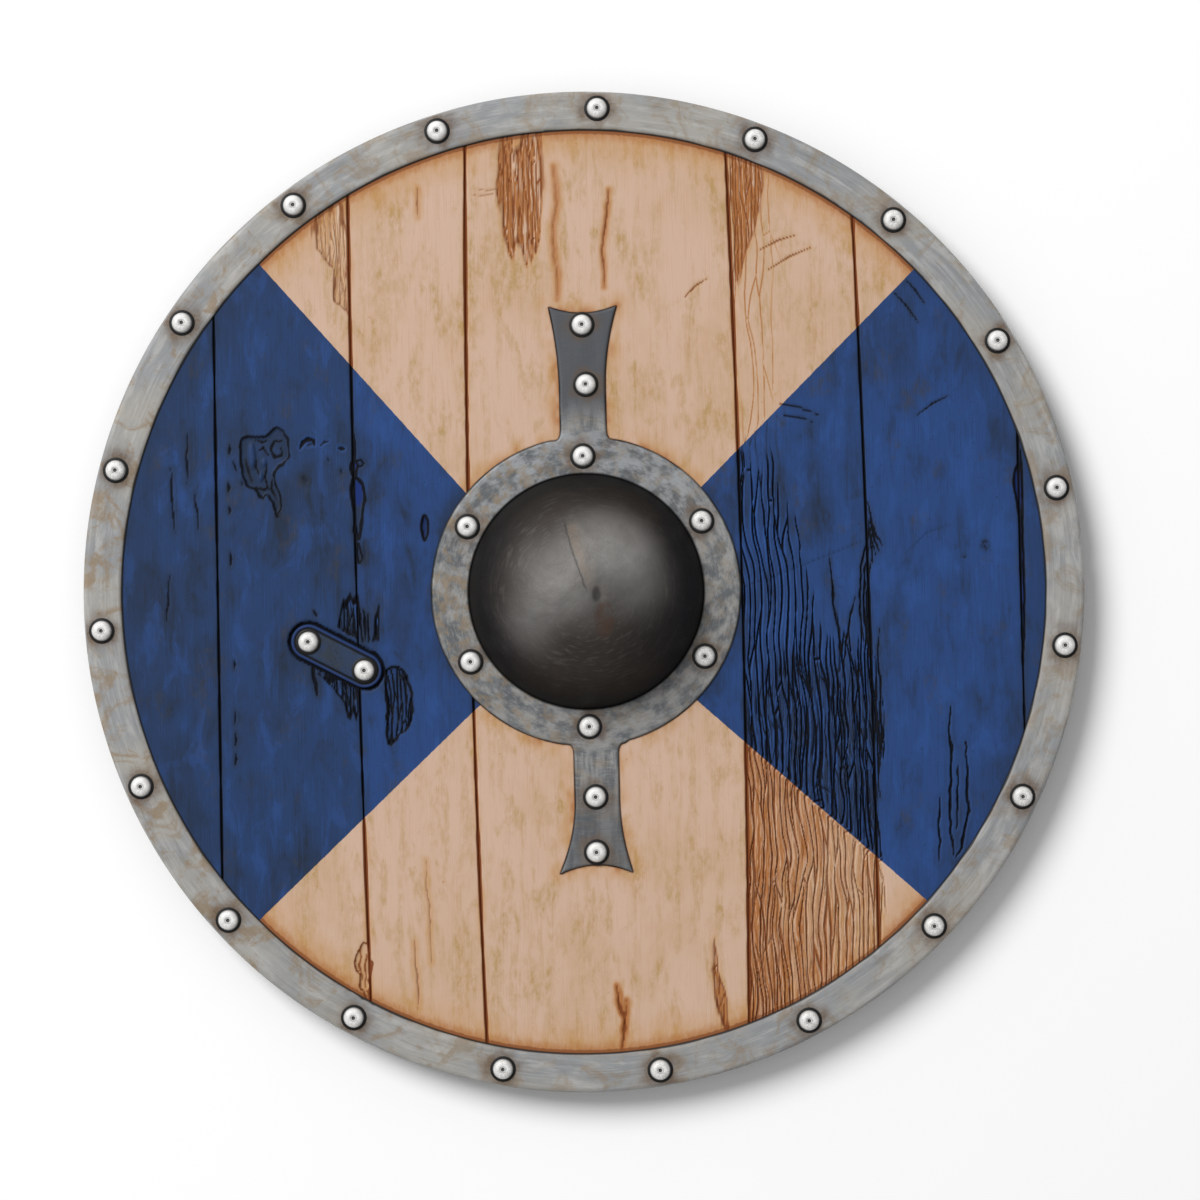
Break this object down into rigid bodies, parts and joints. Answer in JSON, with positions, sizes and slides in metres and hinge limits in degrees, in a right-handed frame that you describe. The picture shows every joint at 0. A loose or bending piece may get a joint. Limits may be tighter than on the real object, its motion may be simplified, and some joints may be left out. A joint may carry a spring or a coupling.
{
  "type": "wooden round shield",
  "caption": "Round shield of painted planks with a riveted iron rim, a domed iron boss on an armed plate, and a hand grip behind.",
  "frame": {"origin": "centre of the shield's box at the underside of the battens, which it lies on", "axes": "+Z out through the boss, +Y along the planks towards the head of the shield, +X to the right seen from the front"},
  "size_m": [0.7, 0.7, 0.088],
  "materials": {
    "blue_boards": "worn blue paint on planks, dark in the cracks",
    "cream_boards": "worn cream paint on planks, brown in the cracks",
    "bare_wood": "oiled bare wood",
    "rim_iron": "brushed and stained iron strip",
    "plate_iron": "dull blue-grey iron plate",
    "dome_iron": "dark burnished iron with a little rust",
    "rivet_iron": "bright rivet heads, dark round the edge",
    "patch_iron": "repair plate painted over in blue"
  },
  "bodies": {
    "root": {"arm_rivet_bottom_inner": "rivet_iron", "arm_rivet_bottom_outer": "rivet_iron", "arm_rivet_top_inner": "rivet_iron", "arm_rivet_top_outer": "rivet_iron", "boss_dome": "dome_iron", "boss_plate": "plate_iron", "boss_rivet_1": "rivet_iron", "boss_rivet_2": "rivet_iron", "boss_rivet_3": "rivet_iron", "boss_rivet_4": "rivet_iron", "boss_rivet_5": "rivet_iron", "boss_rivet_6": "rivet_iron", "grip_batten": "bare_wood", "lower_batten": "bare_wood", "patch_plate": "patch_iron", "patch_rivet_1": "rivet_iron", "patch_rivet_2": "rivet_iron", "plank_1": "blue_boards", "plank_2": "blue_boards", "plank_3": "cream_boards", "plank_4": "cream_boards", "plank_5": "cream_boards", "plank_6": "blue_boards", "plank_7": "blue_boards", "rim": "rim_iron", "rim_rivet_01": "rivet_iron", "rim_rivet_02": "rivet_iron", "rim_rivet_03": "rivet_iron", "rim_rivet_04": "rivet_iron", "rim_rivet_05": "rivet_iron", "rim_rivet_06": "rivet_iron", "rim_rivet_07": "rivet_iron", "rim_rivet_08": "rivet_iron", "rim_rivet_09": "rivet_iron", "rim_rivet_10": "rivet_iron", "rim_rivet_11": "rivet_iron", "rim_rivet_12": "rivet_iron", "rim_rivet_13": "rivet_iron", "rim_rivet_14": "rivet_iron", "rim_rivet_15": "rivet_iron", "rim_rivet_16": "rivet_iron", "rim_rivet_17": "rivet_iron", "rim_rivet_18": "rivet_iron", "rim_rivet_19": "rivet_iron", "upper_batten": "bare_wood"}
  },
  "joints": []
}
